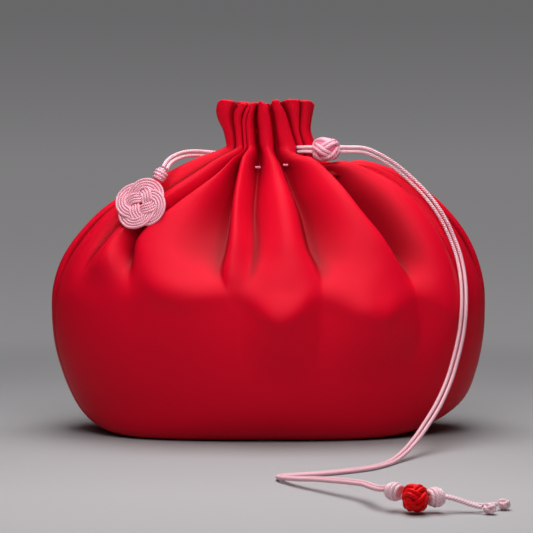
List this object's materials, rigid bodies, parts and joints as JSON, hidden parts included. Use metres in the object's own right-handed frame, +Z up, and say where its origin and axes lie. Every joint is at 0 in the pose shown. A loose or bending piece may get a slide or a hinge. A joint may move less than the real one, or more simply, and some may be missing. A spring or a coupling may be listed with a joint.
{
  "type": "drawstring pouch",
  "caption": "Plump gathered cloth pouch drawn shut by cords, with a ruffled neck, a sliding button knot, a woven mat charm and knotted cord ends.",
  "frame": {"origin": "on the ground at the middle of the pouch's base", "axes": "+Z up; +X to the pouch's right as seen from the front, along its width; -Y to the front, where the long cord lies"},
  "size_m": [0.2112, 0.2482, 0.1608],
  "materials": {
    "red_satin": "soft satin with a fine weave",
    "pink_cord": "glossy twisted cord",
    "red_cord": "glossy braided cord"
  },
  "bodies": {
    "pouch": {"pouch_body": "red_satin", "right_cord_upper": "pink_cord", "right_cord_lower": "pink_cord", "end_knot_upper": "pink_cord", "red_bead_knot": "red_cord", "end_knot_lower": "pink_cord", "tail_cord_front": "pink_cord", "tail_cord_back": "pink_cord", "ball_knot_front": "pink_cord", "ball_knot_back": "pink_cord", "left_cord_upper": "pink_cord", "left_cord_lower": "pink_cord", "wrap_knot": "pink_cord", "charm_mat": "pink_cord", "pleat_cord_left": "pink_cord", "pleat_cord_right": "pink_cord"},
    "slider": {"slider_knot": "pink_cord"}
  },
  "joints": [
    {"name": "knot_slide", "type": "slide", "parent": "pouch", "child": "slider", "axis": [1, 0, 0], "range_m": [0, 0.01]}
  ]
}
